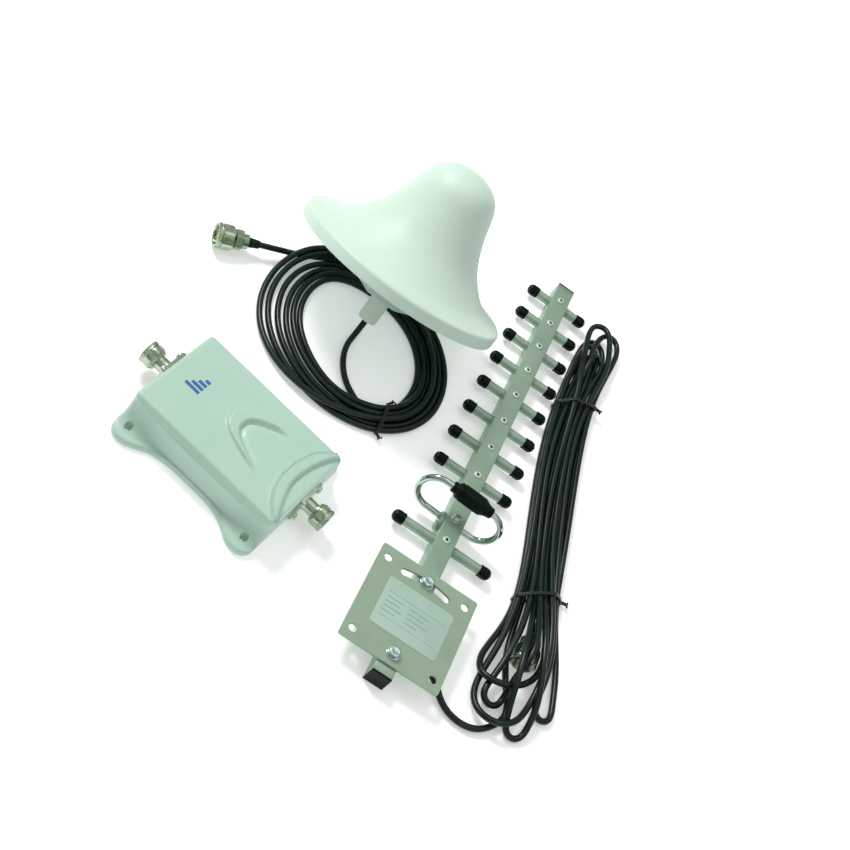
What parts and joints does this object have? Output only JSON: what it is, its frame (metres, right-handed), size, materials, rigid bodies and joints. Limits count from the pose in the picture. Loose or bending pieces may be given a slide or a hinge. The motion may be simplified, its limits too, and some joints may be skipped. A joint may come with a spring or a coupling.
{
  "type": "cellular signal booster kit",
  "caption": "Cellular signal booster: wall amplifier with a coaxial port at each end, a ceiling dome antenna and a directional antenna with pivoting mount plate, each with a coiled cable.",
  "frame": {"origin": "centre of the amplifier's flat back face, on the plane the whole kit lies on", "axes": "+X along the amplifier from its outdoor port end to its indoor port end, +Y across it towards the dome antenna, +Z out of the back face towards the front cover"},
  "size_m": [0.4431, 0.4424, 0.1412],
  "materials": {
    "white_paint": "satin white powder coat",
    "bare_aluminium": "plain sheet",
    "matt_aluminium": "matt anodised",
    "plate_metal": "satin grey coat",
    "steel_screw": "bright zinc",
    "zinc_bolt": "bright zinc",
    "nickel": "nickel plate",
    "brass_pin": "gold plated contact in a white insulator",
    "chrome_tube": "mirror chrome",
    "tin_can": "tinned sheet",
    "board": "green solder mask",
    "black_plastic": "fine grain black",
    "lamp": "clear green lens",
    "dome_plastic": "matt white ABS",
    "hub_plastic": "pale grey white ABS",
    "black_rubber": "black",
    "cap_rubber": "black vinyl cap",
    "cable_jacket": "black PVC jacket",
    "tie_wrap": "black plastic-covered twist tie",
    "label_film": "silver white film"
  },
  "bodies": {
    "amplifier": {"amp_cover": "white_paint", "amp_back_plate": "bare_aluminium", "amp_gasket": "black_rubber", "amp_cover_screws": "steel_screw", "amp_main_board": "board", "amp_shield_cans": "tin_can", "amp_duplexers": "tin_can", "amp_board_screws": "steel_screw", "amp_power_inlet": "black_plastic", "amp_power_lamp": "lamp", "outdoor_port_body": "nickel", "outdoor_port_contact": "brass_pin", "outdoor_port_screws": "steel_screw", "indoor_port_body": "nickel", "indoor_port_contact": "brass_pin", "indoor_port_screws": "steel_screw"},
    "outdoor_nut": {"outdoor_port_nut": "nickel"},
    "indoor_nut": {"indoor_port_nut": "nickel"},
    "dome_antenna": {"dome_radome": "dome_plastic", "dome_base_plate": "dome_plastic", "dome_base_screws": "steel_screw", "dome_hub": "hub_plastic", "dome_stub": "hub_plastic", "dome_ground_disc": "bare_aluminium", "dome_feed": "brass_pin", "dome_radiator": "bare_aluminium", "dome_cable_lead": "cable_jacket", "dome_cable_coil": "cable_jacket", "dome_coil_tie": "tie_wrap", "dome_cable_tail": "cable_jacket", "dome_plug_body": "nickel", "dome_plug_contact": "brass_pin", "dome_plug_boot": "black_rubber"},
    "dome_nut": {"dome_plug_nut": "nickel"},
    "yagi_antenna": {"yagi_boom": "matt_aluminium", "yagi_end_plugs": "black_plastic", "yagi_directors": "matt_aluminium", "yagi_reflector": "matt_aluminium", "yagi_element_caps": "cap_rubber", "yagi_element_screws": "steel_screw", "yagi_dipole_loop": "chrome_tube", "yagi_feed_block": "black_plastic", "yagi_dipole_boss": "matt_aluminium", "yagi_dipole_screws": "steel_screw", "yagi_cable_grommet": "black_rubber", "yagi_clamp_bolts": "zinc_bolt", "yagi_clamp_washers": "zinc_bolt", "yagi_clamp_nuts": "zinc_bolt", "yagi_cable_lead": "cable_jacket", "yagi_cable_hank": "cable_jacket", "yagi_hank_ties": "tie_wrap", "yagi_cable_tail": "cable_jacket", "yagi_plug_body": "nickel", "yagi_plug_contact": "brass_pin", "yagi_plug_boot": "black_rubber"},
    "yagi_plate": {"yagi_mount_plate": "plate_metal", "yagi_plate_label": "label_film"},
    "yagi_nut": {"yagi_plug_nut": "nickel"}
  },
  "joints": [
    {"name": "outdoor_nut_turn", "type": "hinge", "parent": "amplifier", "child": "outdoor_nut", "pos_m": [-0.0885, 0.0015, 0.017], "axis": [-1, 0, 0], "continuous": true},
    {"name": "indoor_nut_turn", "type": "hinge", "parent": "amplifier", "child": "indoor_nut", "pos_m": [0.0885, 0.0015, 0.017], "axis": [1, 0, 0], "continuous": true},
    {"name": "dome_lift", "type": "slide", "parent": "amplifier", "child": "dome_antenna", "axis": [0, 0, 1], "range_m": [0, 0.2]},
    {"name": "dome_nut_turn", "type": "hinge", "parent": "dome_antenna", "child": "dome_nut", "pos_m": [-0.1327, 0.1337, 0.0103], "axis": [-0.7513, -0.66, 0], "continuous": true},
    {"name": "yagi_lift", "type": "slide", "parent": "amplifier", "child": "yagi_antenna", "axis": [0, 0, 1], "range_m": [0, 0.2]},
    {"name": "yagi_plate_tilt", "type": "hinge", "parent": "yagi_antenna", "child": "yagi_plate", "pos_m": [0.18463, -0.04032, 0.017], "axis": [0, 0, 1], "range_deg": [-15, 15]},
    {"name": "yagi_nut_turn", "type": "hinge", "parent": "yagi_antenna", "child": "yagi_nut", "pos_m": [0.2615, 0.03662, 0.0103], "axis": [0.2215, -0.9751, 0], "continuous": true}
  ]
}
